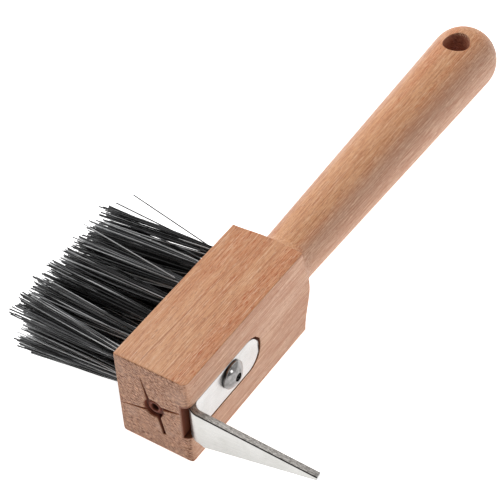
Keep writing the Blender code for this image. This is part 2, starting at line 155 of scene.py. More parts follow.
# Rivet
RIVET_HOLE_RADIUS = 3.5 * MM
RIVET_SLEEVE_RADIUS = 3.2 * MM
RIVET_HEAD_HEIGHT = 3.4 * MM
RIVET_HEAD_SINK = 0.3 * MM
RIVET_EDGE_ROUND = 0.25 * MM
RIVET_LIP_ROUND = 0.35 * MM
RIVET_BORE_RADIUS = 1.8 * MM
RIVET_RIM_HEIGHT = 0.7 * MM
MANDREL_RADIUS = 1.5 * MM
MANDREL_SET_BACK = 0.3 * MM

# Bristles
FILAMENT_RADIUS = 0.34 * MM
# Light grey strands stand for painted highlights and are made thinner by this share.
HIGHLIGHT_STRAND_THINNING = 0.32
FILAMENT_SIDES = 6
FILAMENT_RINGS = 9
FILAMENTS_PER_TUFT = 54
TUFT_ROOT_RADIUS = 2.4 * MM
TUFT_TIP_ZONE = 6.0 * MM
ROOT_DEPTH = 5.0 * MM
TOP_FLARE_POWER = 0.75
LOWER_FLARE_POWER = 0.50
TOP_TIP_SPREAD = 1.05
LOWER_TIP_SPREAD = 1.45
LOWER_TIP_RISE = 1.15
SIDE_SCATTER = 1.3 * MM
LENGTH_SCATTER = 2.2 * MM
BOW = 0.35 * MM
BRISTLE_SEED = 11

# How far the tips of each row, from the top one down, stand toward the handle
ROW_TIP_SHIFTS = (1.0 * MM, 0.0, -1.0 * MM, -1.5 * MM)

# The last tufts of the two middle rows stand further toward the handle than those before them
LAST_TUFT_FROM = 25.0 * MM
LAST_TUFT_SHIFT = 5.0 * MM

# Stray filaments: the tuft each belongs to, its shade from dark 0 to light 1, light being a
# painted highlight, and its tip's place from the middle of that tuft's tips
STRAYS = (
    ("tuft_row1_7", 0.5, (15.0 * MM, -4.0 * MM, 2.0 * MM)),
    ("tuft_row1_7", 0.5, (5.0 * MM, -3.0 * MM, 5.0 * MM)),
    ("tuft_row1_5", 0.9, (1.5 * MM, -4.0 * MM, 11.5 * MM)),
    ("tuft_row2_1", 0.9, (-3.0 * MM, -14.0 * MM, 6.0 * MM)),
)


# Helpers -------------------------------------------------------------------------------


def link(item):
    bpy.context.scene.collection.objects.link(item)
    return item


def mesh_object(name, shape):
    mesh = bpy.data.meshes.new(name)
    shape.to_mesh(mesh)
    shape.free()
    return link(bpy.data.objects.new(name, mesh))


def box_object(name, boxes):
    """Separate boxes in one object, each given as (size, centre, turn about X)."""
    shape = bmesh.new()
    for size, centre, turn in boxes:
        place = Matrix.Translation(centre) @ Matrix.Rotation(turn, 4, "X")
        bmesh.ops.create_cube(shape, size=1.0, matrix=place @ Matrix.Diagonal((*size, 1.0)))
    return mesh_object(name, shape)


def cylinders_object(name, radius, depth, sides, places):
    shape = bmesh.new()
    for place in places:
        bmesh.ops.create_cone(
            shape,
            cap_ends=True,
            segments=sides,
            radius1=radius,
            radius2=radius,
            depth=depth,
            matrix=place,
        )
    return mesh_object(name, shape)


def turned_object(name, profile, sides, closed=False):
    """A turned solid about local Z. The (radius, height) points run down its outer side."""
    shape = bmesh.new()
    corners = [shape.verts.new((radius, 0.0, height)) for radius, height in profile]
    for first, second in zip(corners, corners[1:]):
        shape.edges.new((first, second))
    if closed:
        shape.edges.new((corners[-1], corners[0]))
    item = mesh_object(name, shape)
    screw = item.modifiers.new("Turn", "SCREW")
    screw.steps = sides
    screw.render_steps = sides
    screw.use_merge_vertices = True
    screw.merge_threshold = WELD
    return item


def apply_modifiers(item):
    depsgraph = bpy.context.evaluated_depsgraph_get()
    made = bpy.data.meshes.new_from_object(item.evaluated_get(depsgraph), depsgraph=depsgraph)
    item.modifiers.clear()
    item.data = made
    return item


def boolean(item, other, operation="DIFFERENCE"):
    """Cuts item with other, which is then removed."""
    cut = item.modifiers.new("Cut", "BOOLEAN")
    cut.operation = operation
    cut.solver = "EXACT"
    cut.object = other
    bpy.context.view_layer.update()
    apply_modifiers(item)
    bpy.data.objects.remove(other, do_unlink=True)


def smooth(item, angle):
    item.data.shade_smooth()
    item.data.set_sharp_from_angle(angle=math.radians(angle))


def finish_piece(item, slot, material, *nodes):
    """Rides on the one body, stands for the CAD nodes and takes the material."""
    item.data.materials.clear()
    item.data.materials.append(material)
    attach(item, "root")
    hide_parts(*nodes)
    return item


# Material building ---------------------------------------------------------------------


class Tree:
    """Short names for making and linking shader nodes."""

    def __init__(self, name):
        self.material = bpy.data.materials.new(name)
        self.material.use_nodes = True
        self.nodes = self.material.node_tree.nodes
        self.links = self.material.node_tree.links
        self.shader = self.nodes["Principled BSDF"]
        self.place = self.nodes.new("ShaderNodeTexCoord").outputs["Object"]

    def join(self, source, socket):
        if isinstance(source, bpy.types.NodeSocket):
            self.links.new(source, socket)
        else:
            socket.default_value = source

    def mapping(self, scale, turn=None, shift=(0.0, 0.0, 0.0)):
        """Object coordinates, turned first where a turn is given, in millimetres times scale."""
        source = self.place
        if turn is not None:
            turned = self.nodes.new("ShaderNodeMapping")
            turned.inputs["Rotation"].default_value = [math.radians(part) for part in turn]
            self.join(source, turned.inputs["Vector"])
            source = turned.outputs["Vector"]
        node = self.nodes.new("ShaderNodeMapping")
        node.inputs["Scale"].default_value = [part / MM for part in scale]
        node.inputs["Location"].default_value = shift
        self.join(source, node.inputs["Vector"])
        return node.outputs["Vector"]

    def noise(self, vector, detail=2.0, roughness=0.5, distortion=0.0):
        node = self.nodes.new("ShaderNodeTexNoise")
        node.inputs["Scale"].default_value = 1.0
        node.inputs["Detail"].default_value = detail
        node.inputs["Roughness"].default_value = roughness
        node.inputs["Distortion"].default_value = distortion
        self.join(vector, node.inputs["Vector"])
        return node.outputs["Fac"]

    def ramp(self, source, low, high, start=0.0, end=1.0):
        """Maps source from low..high to start..end, clamped and eased."""
        node = self.nodes.new("ShaderNodeMapRange")
        node.interpolation_type = "SMOOTHSTEP"
        self.join(source, node.inputs["Value"])
        node.inputs["From Min"].default_value = low
        node.inputs["From Max"].default_value = high
        node.inputs["To Min"].default_value = start
        node.inputs["To Max"].default_value = end
        return node.outputs["Result"]

    def math(self, operation, first, second=0.0):
        node = self.nodes.new("ShaderNodeMath")
        node.operation = operation
        self.join(first, node.inputs[0])
        self.join(second, node.inputs[1])
        return node.outputs["Value"]

    def mix(self, factor, first, second, blend="MIX"):
        node = self.nodes.new("ShaderNodeMix")
        node.data_type = "RGBA"
        node.blend_type = blend
        self.join(factor, node.inputs["Factor"])
        self.join(first, node.inputs[6])
        self.join(second, node.inputs[7])
        return node.outputs[2]

    def split(self, vector):
        node = self.nodes.new("ShaderNodeSeparateXYZ")
        self.join(vector, node.inputs["Vector"])
        return node.outputs

    def normal(self):
        return self.nodes.new("ShaderNodeNewGeometry").outputs["Normal"]

    def bump(self, height, distance, strength=1.0, under=None):
        node = self.nodes.new("ShaderNodeBump")
        node.inputs["Strength"].default_value = strength
        node.inputs["Distance"].default_value = distance
        self.join(height, node.inputs["Height"])
        if under is not None:
            self.join(under, node.inputs["Normal"])
        return node.outputs["Normal"]

    def soft_edges(self, radius):
        node = self.nodes.new("ShaderNodeBevel")
        node.samples = 4
        node.inputs["Radius"].default_value = radius
        return node.outputs["Normal"]

    def set(self, **sockets):
        for name, source in sockets.items():
            self.join(source, self.shader.inputs[name.replace("_", " ")])
        return self.material


def rgb(red, green, blue):
    """A colour given as 0 to 255 display values, in linear light."""
    linear = []
    for value in (red, green, blue):
        part = value / 255
        linear.append(part / 12.92 if part <= 0.04045 else ((part + 0.055) / 1.055) ** 2.4)
    return (*linear, 1.0)


def growth_line(t):
    """One darker growth line that runs along the block, a little aslant, and fades out."""
    place = t.split(t.place)
    wobble = t.noise(t.mapping((0.05, 0.0, 0.0)), detail=2.0)
    across = t.math("ADD", place["Y"], t.math("MULTIPLY", place["X"], GROWTH_LINE_SLANT))
    across = t.math("SUBTRACT", across, GROWTH_LINE_Y)
    across = t.math("ADD", across, t.math("MULTIPLY", t.math("SUBTRACT", wobble, 0.5), GROWTH_LINE_WOBBLE))
    line = t.ramp(t.math("ABSOLUTE", across), GROWTH_LINE_CORE, GROWTH_LINE_EDGE, 1.0, 0.0)
    breaks = t.ramp(t.noise(t.mapping((0.12, 0.0, 0.0), shift=(4.0, 0.0, 0.0))), 0.35, 0.6, 0.35, 1.0)
    fades = t.ramp(place["X"], NOSE_X + 0.55 * BLOCK_LENGTH, NOSE_X + 0.8 * BLOCK_LENGTH, 1.0, 0.0)
    starts = t.ramp(place["X"], NOSE_X + 1.0 * MM, NOSE_X + 4.0 * MM)
    return t.math("MULTIPLY", t.math("MULTIPLY", line, breaks), t.math("MULTIPLY", fades, starts))


def distance(t, first, second):
    return t.math("SQRT", t.math("ADD", t.math("POWER", first, 2.0), t.math("POWER", second, 2.0)))


# Mask of the hang hole's walls, which are painted darker as shade.
def hang_hole_inside(t, place):
    along = t.math("SUBTRACT", place["X"], END_X - HANG_HOLE_FROM_END)
    from_axis = distance(t, along, place["Y"])
    return t.ramp(from_axis, HANG_HOLE_RADIUS, HANG_HOLE_RADIUS + 0.35 * MM, 1.0, 0.0)


# Mask of the cuts set back into the nose, which are painted darker as shade.
def spur_inside(t, place):
    up = t.math("SUBTRACT", place["Z"], MID_Z)
    near = t.ramp(distance(t, up, place["Y"]), 15.5 * MM, 16.0 * MM, 1.0, 0.0)
    before_end = t.ramp(place["X"], NOSE_X + 8.0 * MM, NOSE_X + 9.0 * MM, 1.0, 0.0)
    below_face = t.ramp(place["X"], NOSE_X + 0.1 * MM, NOSE_X + 0.8 * MM)
    on_end = t.ramp(t.math("ABSOLUTE", place["Y"]), FACE_Y - 1.6 * MM, FACE_Y - 0.9 * MM, 1.0, 0.0)
    return t.math("MULTIPLY", t.math("MULTIPLY", near, on_end), t.math("MULTIPLY", below_face, before_end))


# Mask of the slot's walls and floor round the bar, which are painted darker as shade.
def slot_inside(t, place):
    up = t.math("ABSOLUTE", t.math("SUBTRACT", place["Z"], MID_Z))
    near = t.ramp(up, 9.0 * MM, 9.4 * MM, 1.0, 0.0)
    below_face = t.ramp(place["Y"], PICK_FACE_Y + 0.1 * MM, PICK_FACE_Y + 0.6 * MM)
    above_floor = t.ramp(place["Y"], PICK_FACE_Y + 3.6 * MM, PICK_FACE_Y + 4.2 * MM, 1.0, 0.0)
    before_end = t.ramp(place["X"], pick_high.x + 1.6 * MM, pick_high.x + 2.0 * MM, 1.0, 0.0)
    along_bar = t.math("MULTIPLY", near, before_end)
    return t.math("MULTIPLY", along_bar, t.math("MULTIPLY", below_face, above_floor))


def end_grain(t):
    """Sawn end: slanted fine lines, pores and paler or browner patches."""
    hatch = t.noise(t.mapping((0.0, 0.30, 2.6), turn=(-24.0, 0.0, 0.0)), detail=1.0, roughness=0.5)
    fine = t.noise(t.mapping((0.0, 0.70, 4.2), turn=(-30.0, 0.0, 0.0)), detail=2.0, roughness=0.6)
    speck = t.noise(t.mapping((1.4, 2.4, 2.4)), detail=3.0, roughness=0.7)
    patch = t.noise(t.mapping((0.05, 0.10, 0.10), shift=(0.0, 3.0, 1.0)), detail=2.0)
    colour = t.mix(t.ramp(hatch, 0.43, 0.57), rgb(112, 62, 38), rgb(186, 134, 100))
    colour = t.mix(t.ramp(fine, 0.50, 0.58, 0.0, 0.7), colour, rgb(222, 178, 148))
    colour = t.mix(t.ramp(fine, 0.47, 0.40, 0.0, 0.7), colour, rgb(96, 52, 32))
    colour = t.mix(t.ramp(speck, 0.54, 0.64, 0.0, 0.6), colour, rgb(112, 62, 42))
    colour = t.mix(t.ramp(patch, 0.5, 0.7, 0.0, 0.3), colour, rgb(190, 156, 136))
    height = t.math("ADD", t.math("ADD", hatch, fine), t.math("MULTIPLY", speck, -0.6))
    return colour, height


def beech_material():
    """Steamed beech: fine straight grain along X, short ray flecks and sawn end grain."""
    t = Tree("beech_wood")
    place = t.split(t.place)
    faces = t.split(t.normal())
    end = t.ramp(t.math("ABSOLUTE", faces["X"]), 0.50, 0.75)
    side = t.ramp(t.math("ABSOLUTE", faces["Y"]), 0.35, 0.85)
    flat = t.math("SUBTRACT", 1.0, side)

    broad = t.noise(t.mapping((0.010, 0.11, 0.16), shift=(3.0, 1.0, 7.0)), detail=3.0)
    bands = t.noise(t.mapping((0.006, 0.20, 0.20), shift=(9.0, 2.0, 5.0)), detail=2.0)
    lines = t.noise(t.mapping((0.05, 2.6, 2.6)), detail=3.0, roughness=0.65)
    flecks = t.noise(t.mapping((0.30, 2.6, 2.6), turn=(0.0, 0.0, 2.0)), detail=2.0, roughness=0.6)
    rays = t.noise(t.mapping((0.45, 4.2, 4.2), turn=(0.0, 0.0, -2.0)), detail=1.0)
    mottle = t.noise(t.mapping((0.16, 0.40, 0.40)), detail=4.0, roughness=0.7)

    toward_pick = t.ramp(place["Y"], -0.2 * FACE_Y, -0.9 * FACE_Y)
    streaked = t.math("MAXIMUM", t.ramp(bands, 0.45, 0.62), t.math("MULTIPLY", toward_pick, 0.8))
    top = t.mix(t.ramp(broad, 0.3, 0.7), rgb(214, 160, 118), rgb(204, 145, 102))
    top = t.mix(t.math("MULTIPLY", streaked, 0.45), top, rgb(204, 132, 88))
    # The broad faces get a paler, whiter colour than the top: partly their own grain, partly painted sheen.
    flank = t.mix(t.ramp(broad, 0.3, 0.7), rgb(198, 156, 130), rgb(186, 140, 112))
    colour = t.mix(side, top, flank)
    colour = t.mix(t.ramp(lines, 0.50, 0.64, 0.0, 0.6), colour, rgb(166, 98, 62))
    colour = t.mix(t.ramp(lines, 0.46, 0.34, 0.0, 0.6), colour, rgb(232, 194, 164))
    marks = t.math("MULTIPLY", t.ramp(flecks, 0.54, 0.66, 0.0, 0.8), t.math("ADD", 0.25, streaked))
    colour = t.mix(t.math("MULTIPLY", marks, flat), colour, rgb(176, 92, 50))
    colour = t.mix(t.ramp(flecks, 0.42, 0.30, 0.0, 0.4), colour, rgb(234, 198, 168))
    colour = t.mix(t.ramp(mottle, 0.45, 0.70, 0.0, 0.25), colour, rgb(170, 106, 72))
    colour = t.mix(t.ramp(rays, 0.60, 0.70, 0.0, 0.5), colour, rgb(138, 80, 50))
    growth = t.math("MULTIPLY", growth_line(t), flat)
    colour = t.mix(t.math("MULTIPLY", growth, 0.6), colour, rgb(140, 74, 40))

    ends, end_height = end_grain(t)
    colour = t.mix(end, colour, ends)
    # Painted shade: the hang hole's walls are darkened and reddened.
    colour = t.mix(t.math("MULTIPLY", hang_hole_inside(t, place), 0.45), colour, rgb(176, 104, 84))
    # Painted shade: the spur recess and the other cuts in the nose are darkened and reddened, and near
    # black deeper in.
    colour = t.mix(t.math("MULTIPLY", spur_inside(t, place), 0.90), colour, rgb(112, 46, 26))
    deep = t.ramp(place["X"], NOSE_X + 1.2 * MM, NOSE_X + 1.9 * MM)
    spur_hole_shade = t.math("MULTIPLY", spur_inside(t, place), deep)
    colour = t.mix(t.math("MULTIPLY", spur_hole_shade, 0.7), colour, rgb(30, 12, 8))
    # Painted shade: the slot's walls and floor are darkened.
    colour = t.mix(t.math("MULTIPLY", slot_inside(t, place), 0.75), colour, rgb(126, 70, 48))

    grain_height = t.math("SUBTRACT", t.math("MULTIPLY", lines, 0.6), t.math("MULTIPLY", rays, 0.6))
    height = t.math("ADD", grain_height, t.math("MULTIPLY", end_height, t.math("MULTIPLY", end, 1.6)))
    rough = t.ramp(flecks, 0.2, 0.8, 0.44, 0.60)
    bent = t.bump(height, 0.12 * MM, 0.7, under=t.soft_edges(0.25 * MM))
    t.shader.inputs["Specular IOR Level"].default_value = 0.32
    return t.set(Base_Color=colour, Roughness=rough, Normal=bent)


def pick_material():
    """Bright rolled steel with fine scratches along the bar and a greyer sheared edge."""
    t = Tree("pick_steel_finish")
    faces = t.split(t.normal())
    edge = t.ramp(t.math("ABSOLUTE", faces["Z"]), 0.80, 0.97)
    scratch = t.noise(t.mapping((0.05, 0.05, 9.0)), detail=3.0, roughness=0.7)
    cloud = t.noise(t.mapping((0.14, 0.14, 0.14)), detail=4.0, roughness=0.6)
    tear = t.noise(t.mapping((2.2, 0.8, 0.8)), detail=3.0, roughness=0.7)
    face = t.mix(t.ramp(cloud, 0.35, 0.7), rgb(206, 205, 204), rgb(196, 195, 193))
    cut = t.mix(t.ramp(tear, 0.35, 0.65), rgb(190, 186, 181), rgb(128, 124, 120))
    # Painted shade: the hook's outer face, turned toward the nose, gets a darker steel than the plate.
    outward = t.math("MULTIPLY", faces["X"], -1.0)
    outer = t.ramp(outward, 0.55, 0.9)
    face = t.mix(outer, face, t.mix(t.ramp(cloud, 0.35, 0.7), rgb(192, 191, 188), rgb(183, 182, 178)))
    # Painted shade: a dark line along the rounding between the hook's outer face and its top edge.
    edge_shade_line = t.math("MULTIPLY", t.ramp(outward, 0.10, 0.30), t.ramp(faces["Z"], 0.10, 0.30))
    colour = t.mix(edge, face, cut)
    colour = t.mix(t.math("MULTIPLY", edge_shade_line, 0.95), colour, rgb(30, 27, 25))
    rough = t.math("ADD", t.ramp(scratch, 0.2, 0.8, 0.24, 0.36), t.math("MULTIPLY", edge, 0.15))
    height = t.math("ADD", scratch, t.math("MULTIPLY", t.math("MULTIPLY", tear, edge), 4.0))
    t.shader.inputs["Metallic"].default_value = 1.0
    return t.set(Base_Color=colour, Roughness=rough, Normal=t.bump(height, 0.01 * MM, 0.5))


def from_rivet_axis(t):
    place = t.split(t.place)
    aside = t.math("SUBTRACT", place["X"], RIVET_X)
    up = t.math("SUBTRACT", place["Z"], RIVET_Z)
    return distance(t, aside, up)


def rivet_material():
    """Polished plated steel with light handling marks and painted shade down its bore."""
    t = Tree("rivet_steel_finish")
    from_axis = from_rivet_axis(t)
    # Painted shade: the bore and the lip round it are near black.
    bore = t.ramp(from_axis, RIVET_BORE_RADIUS + 0.15 * MM, RIVET_BORE_RADIUS + 0.4 * MM, 1.0, 0.0)
    cloud = t.noise(t.mapping((0.5, 0.5, 0.5)), detail=4.0, roughness=0.6)
    fine = t.noise(t.mapping((6.0, 6.0, 6.0)), detail=2.0)
    colour = t.mix(t.ramp(cloud, 0.3, 0.7), rgb(150, 148, 147), rgb(122, 120, 119))
    colour = t.mix(bore, colour, rgb(10, 9, 8))
    t.shader.inputs["Metallic"].default_value = 1.0
    rough = t.math("ADD", t.ramp(cloud, 0.2, 0.8, 0.12, 0.22), t.math("MULTIPLY", bore, 0.4))
    return t.set(Base_Color=colour, Roughness=rough, Normal=t.bump(fine, 0.004 * MM, 0.5))


def mandrel_material():
    """The snapped stub of the rivet's mandrel, dull and torn."""
    t = Tree("mandrel_steel_finish")
    torn = t.noise(t.mapping((1.6, 1.6, 1.6)), detail=3.0, roughness=0.6)
    # Painted shade: the stub's sides, sunk below its top, are near black so the bore reads as a dark ring.
    sunk_shade = t.ramp(from_rivet_axis(t), 0.95 * MM, 1.15 * MM)
    colour = t.mix(t.ramp(torn, 0.52, 0.66), rgb(232, 230, 228), rgb(110, 108, 106))
    colour = t.mix(sunk_shade, colour, rgb(10, 9, 8))
    t.shader.inputs["Metallic"].default_value = 1.0
    rough = t.ramp(torn, 0.2, 0.8, 0.30, 0.50)
    return t.set(Base_Color=colour, Roughness=rough, Normal=t.bump(torn, 0.08 * MM, 0.7))


def bristle_material():
    """Black stiff plastic filament, each a little lighter or darker than the next, the light grey strands
    being painted highlights.
    """
    t = Tree("bristle_filament")
    strand = t.nodes.new("ShaderNodeAttribute")
    strand.attribute_name = "strand"
    shade = strand.outputs["Fac"]
    dust = t.noise(t.mapping((1.5, 0.35, 1.5)), detail=3.0, roughness=0.7)
    colour = t.mix(t.ramp(shade, 0.40, 0.62), rgb(6, 6, 7), rgb(84, 85, 87))
    # Painted highlights: the lightest strands are light grey.
    colour = t.mix(t.ramp(shade, 0.72, 0.84, 0.0, 0.95), colour, rgb(202, 203, 204))
    colour = t.mix(t.ramp(dust, 0.6, 0.8, 0.0, 0.2), colour, rgb(110, 110, 110))
    rough = t.ramp(dust, 0.2, 0.8, 0.24, 0.38)
    return t.set(Base_Color=colour, Roughness=rough, Normal=t.bump(dust, 0.03 * MM, 0.4))


def staple_material():
    """Flat plated wire."""
    t = Tree("staple_wire_finish")
    cloud = t.noise(t.mapping((0.8, 0.8, 0.8)), detail=3.0)
    colour = t.mix(t.ramp(cloud, 0.3, 0.7), rgb(186, 182, 174), rgb(150, 144, 134))
    t.shader.inputs["Metallic"].default_value = 1.0
    rough = t.ramp(cloud, 0.2, 0.8, 0.32, 0.5)
    return t.set(Base_Color=colour, Roughness=rough, Normal=t.bump(cloud, 0.02 * MM, 0.4))


# Wooden body ---------------------------------------------------------------------------

body_low, body_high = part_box("block_and_handle")
NOSE_X = body_low.x
END_X = body_high.x
FACE_Y = body_high.y
MID_Z = (body_low.z + body_high.z) / 2
BLOCK_SIZE = body_high - body_low

pick_low, pick_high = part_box("pick")
rivet_low, rivet_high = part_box("rivet_body")
mandrel_low, mandrel_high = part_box("rivet_mandrel")
RIVET_X = (rivet_low.x + rivet_high.x) / 2
RIVET_Z = (rivet_low.z + rivet_high.z) / 2
PICK_FACE_Y = body_low.y


def tuft_names():
    return sorted(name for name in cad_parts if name.startswith("tuft_"))


def hole_axis(tuft_name):
    """The (x, z) of a tuft's hole, which its staple sits in the middle of."""
    low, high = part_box(tuft_name.replace("tuft_", "staple_"))
    return (low.x + high.x) / 2, (low.z + high.z) / 2


def edge_round(first, second):
    """Rounding of the stock's edge between two corners. The long edges are crisp, but for one."""
    if max(first.x, second.x) > 0.0:
        under_bristles = min(first.y, second.y) > 0.0 and max(first.z, second.z) < MID_Z
        return LOWER_BRISTLE_ROUND if under_bristles else SIDE_ROUND
    upright = abs(first.z - second.z) > WELD
    return PICK_CORNER_ROUND if upright and first.y < 0.0 else NOSE_EDGE_ROUND


def rounded_blank():
    length = BLOCK_SIZE.x + STOCK_OVER
    centre = Vector((NOSE_X + length / 2, 0.0, MID_Z))
    item = box_object("beech_body", [((length, BLOCK_SIZE.y, BLOCK_SIZE.z), centre, 0.0)])
    weights = item.data.attributes.new("bevel_weight_edge", "FLOAT", "EDGE")
    for edge in item.data.edges:
        first, second = (item.data.vertices[corner].co for corner in edge.vertices)
        weights.data[edge.index].value = edge_round(first, second) / PICK_CORNER_ROUND
    rounding = item.modifiers.new("Eased edges", "BEVEL")
    rounding.width = PICK_CORNER_ROUND
    rounding.segments = ROUND_STEPS
    rounding.limit_method = "WEIGHT"
    bpy.context.view_layer.update()
    return apply_modifiers(item)


def turned_outline():
    """Radius and distance from the nose of the turned surface, from the end to the nose."""
    corner_radius = math.hypot(BLOCK_SIZE.y / 2, BLOCK_SIZE.z / 2)
    end_centre = BLOCK_SIZE.x - HANDLE_END_RADIUS
    points = [(0.0, BLOCK_SIZE.x)]
    for step in range(1, END_STEPS + 1):
        angle = math.pi / 2 * step / END_STEPS
        radius = HANDLE_END_RADIUS * math.sin(angle)
        points.append((radius, end_centre + HANDLE_END_RADIUS * math.cos(angle)))
    neck = BLOCK_LENGTH + SHOULDER_LENGTH
    for step in range(1, HANDLE_STEPS):
        part = step / HANDLE_STEPS
        radius = HANDLE_END_RADIUS + (NECK_RADIUS - HANDLE_END_RADIUS) * part
        points.append((radius, end_centre + (neck - end_centre) * part))
    for step in range(SHOULDER_STEPS + 1):
        angle = math.pi / 2 * (1 - step / SHOULDER_STEPS)
        radius = corner_radius - (corner_radius - NECK_RADIUS) * math.sin(angle)
        points.append((radius, BLOCK_LENGTH + SHOULDER_LENGTH * (1 - math.cos(angle))))
    points.append((corner_radius + TURNING_OVER, BLOCK_LENGTH))
    points.append((corner_radius + TURNING_OVER, -STOCK_OVER))
    points.append((0.0, -STOCK_OVER))
    return points


def hang_hole_cutter():
    """A cutter that flares to a rounded rim on both sides."""
    reach = HANDLE_END_RADIUS + CUT_OVER
    start = HANDLE_END_RADIUS - HANG_RIM_DEPTH
    upper = [(0.0, reach), (HANG_HOLE_RADIUS + 2 * HANG_RIM_WIDTH, reach)]
    for step in range(HANG_RIM_STEPS + 1):
        angle = math.pi / 2 * step / HANG_RIM_STEPS
        radius = HANG_HOLE_RADIUS + HANG_RIM_WIDTH * (1 - math.sin(angle))
        upper.append((radius, start + HANG_RIM_DEPTH * math.cos(angle)))
    lower = [(radius, -height) for radius, height in reversed(upper)]
    item = turned_object("hang_hole", upper + lower, 72)
    item.location = (END_X - HANG_HOLE_FROM_END, 0.0, MID_Z)
    return item


def slot_cutter():
    """A round-ended slab through the nose, with a slightly torn edge at its round end."""
    draw = random.Random(SLOT_SEED)
    half = (bar_top() - bar_bottom() + SLOT_UPPER_GAP + SLOT_LOWER_GAP) / 2
    middle_z = MID_Z + (SLOT_UPPER_GAP - SLOT_LOWER_GAP) / 2
    depth = 2 * (BAR_THICKNESS + SLOT_UPPER_GAP)
    arc_x = pick_high.x + SLOT_PAST_BAR - half
    outline = [(NOSE_X - CUT_OVER, half), (NOSE_X - CUT_OVER, -half)]
    for step in range(SLOT_ARC_STEPS + 1):
        angle = math.pi * (step / SLOT_ARC_STEPS - 0.5)
        reach = half + abs(draw.gauss(0.0, SLOT_TEAR)) * max(0.0, math.sin(2 * angle))
        outline.append((arc_x + reach * math.cos(angle), reach * math.sin(angle)))
    shape = bmesh.new()
    floor = [shape.verts.new((x, PICK_FACE_Y - depth / 2, middle_z + z)) for x, z in outline]
    face = shape.faces.new(floor)
    pushed = bmesh.ops.extrude_face_region(shape, geom=[face])["geom"]
    moved = [part for part in pushed if isinstance(part, bmesh.types.BMVert)]
    bmesh.ops.translate(shape, vec=(0.0, depth, 0.0), verts=moved)
    bmesh.ops.recalc_face_normals(shape, faces=shape.faces)
    return mesh_object("slot", shape)


def bar_top():
    return pick_high.z


def bar_bottom():
    """The plate's lower edge; the hook's heel reaches lower than it."""
    return 2 * MID_Z - pick_high.z


def across_block(x, y, z):
    return Matrix.Translation((x, y, z)) @ Matrix.Rotation(math.pi / 2, 4, "X")


def tuft_holes():
    over = 3 * MM
    centre_y = FACE_Y + (over - TUFT_HOLE_DEPTH) / 2
    places = []
    for name in tuft_names():
        x, z = hole_axis(name)
        places.append(across_block(x, centre_y, z))
    return cylinders_object("tuft_holes", TUFT_HOLE_RADIUS, TUFT_HOLE_DEPTH + over, 32, places)


def rivet_hole():
    start = PICK_FACE_Y - 5 * MM
    end = mandrel_high.y + 0.5 * MM
    place = across_block(RIVET_X, (start + end) / 2, RIVET_Z)
    return cylinders_object("rivet_hole", RIVET_HOLE_RADIUS, end - start, 48, [place])


def spur_recess():
    """The spur's ring groove, the raised crater inside it and the deep centre hole."""
    rim = SPUR_RING_RADIUS
    profile = [
        (0.0, CUT_OVER),
        (rim + 0.3 * MM, CUT_OVER),
        (rim + 0.3 * MM, 0.0),
        (rim, -0.3 * MM),
        (rim - 0.4 * MM, -SPUR_GROOVE_DEPTH),
        (SPUR_CRATER_RADIUS + 0.5 * MM, -SPUR_GROOVE_DEPTH + 0.2 * MM),
        (SPUR_CRATER_RADIUS, -SPUR_CRATER_DEPTH),
        (SPUR_POINT_RADIUS + 0.2 * MM, -SPUR_CRATER_DEPTH - 0.1 * MM),
        (SPUR_POINT_RADIUS, -SPUR_CRATER_DEPTH - 0.5 * MM),
        (SPUR_POINT_RADIUS * 0.8, -SPUR_POINT_DEPTH),
        (0.0, -SPUR_POINT_DEPTH - 0.6 * MM),
    ]
    item = turned_object("spur_recess", profile, 64)
    item.location = (NOSE_X, 0.0, MID_Z)
    item.rotation_euler = (0.0, -math.pi / 2, 0.0)
    return item


def spur_slits():
    """Four cuts round the centre of the nose, each set to one side of it and run out thin."""
    shape = bmesh.new()
    inner = SPUR_RING_RADIUS - 0.8 * MM
    for quarter, (length, width, depth, left) in enumerate(SPUR_SLITS):
        turn = Matrix.Rotation(quarter * math.pi / 2 - SPUR_TURN, 4, "X")
        place = Matrix.Translation((NOSE_X, 0.0, MID_Z)) @ turn
        sections = ((inner, 1.0), (inner + 0.6 * (length - inner), 0.4 + 0.6 * left), (length, left))
        rings = []
        for along, share in sections:
            half = share * width / 2
            deep = share * depth
            corners = ((-CUT_OVER, -half), (-CUT_OVER, half), (deep, 0.8 * half), (deep, -0.8 * half))
            points = [place @ Vector((x, SPUR_SLIT_OFFSET + y, along)) for x, y in corners]
            rings.append([shape.verts.new(point) for point in points])
        for ring, further in zip(rings, rings[1:]):
            for index in range(4):
                following = (index + 1) % 4
                shape.faces.new((ring[index], ring[following], further[following], further[index]))
        shape.faces.new(rings[0])
        shape.faces.new(rings[-1])
    bmesh.ops.recalc_face_normals(shape, faces=shape.faces)
    return mesh_object("spur_slits", shape)


def make_body():
    body = rounded_blank()
    guide = turned_object("turning_guide", turned_outline(), TURNED_SIDES)
    guide.location = (NOSE_X, 0.0, MID_Z)
    guide.rotation_euler = (0.0, math.pi / 2, 0.0)
    boolean(body, guide, "INTERSECT")
    boolean(body, hang_hole_cutter())
    boolean(body, slot_cutter())
    boolean(body, rivet_hole())
    boolean(body, tuft_holes())
    boolean(body, spur_slits())
    boolean(body, spur_recess())
    smooth(body, 28.0)
    return finish_piece(body, "beech", beech_material(), "block_and_handle")


# Steel pick ----------------------------------------------------------------------------


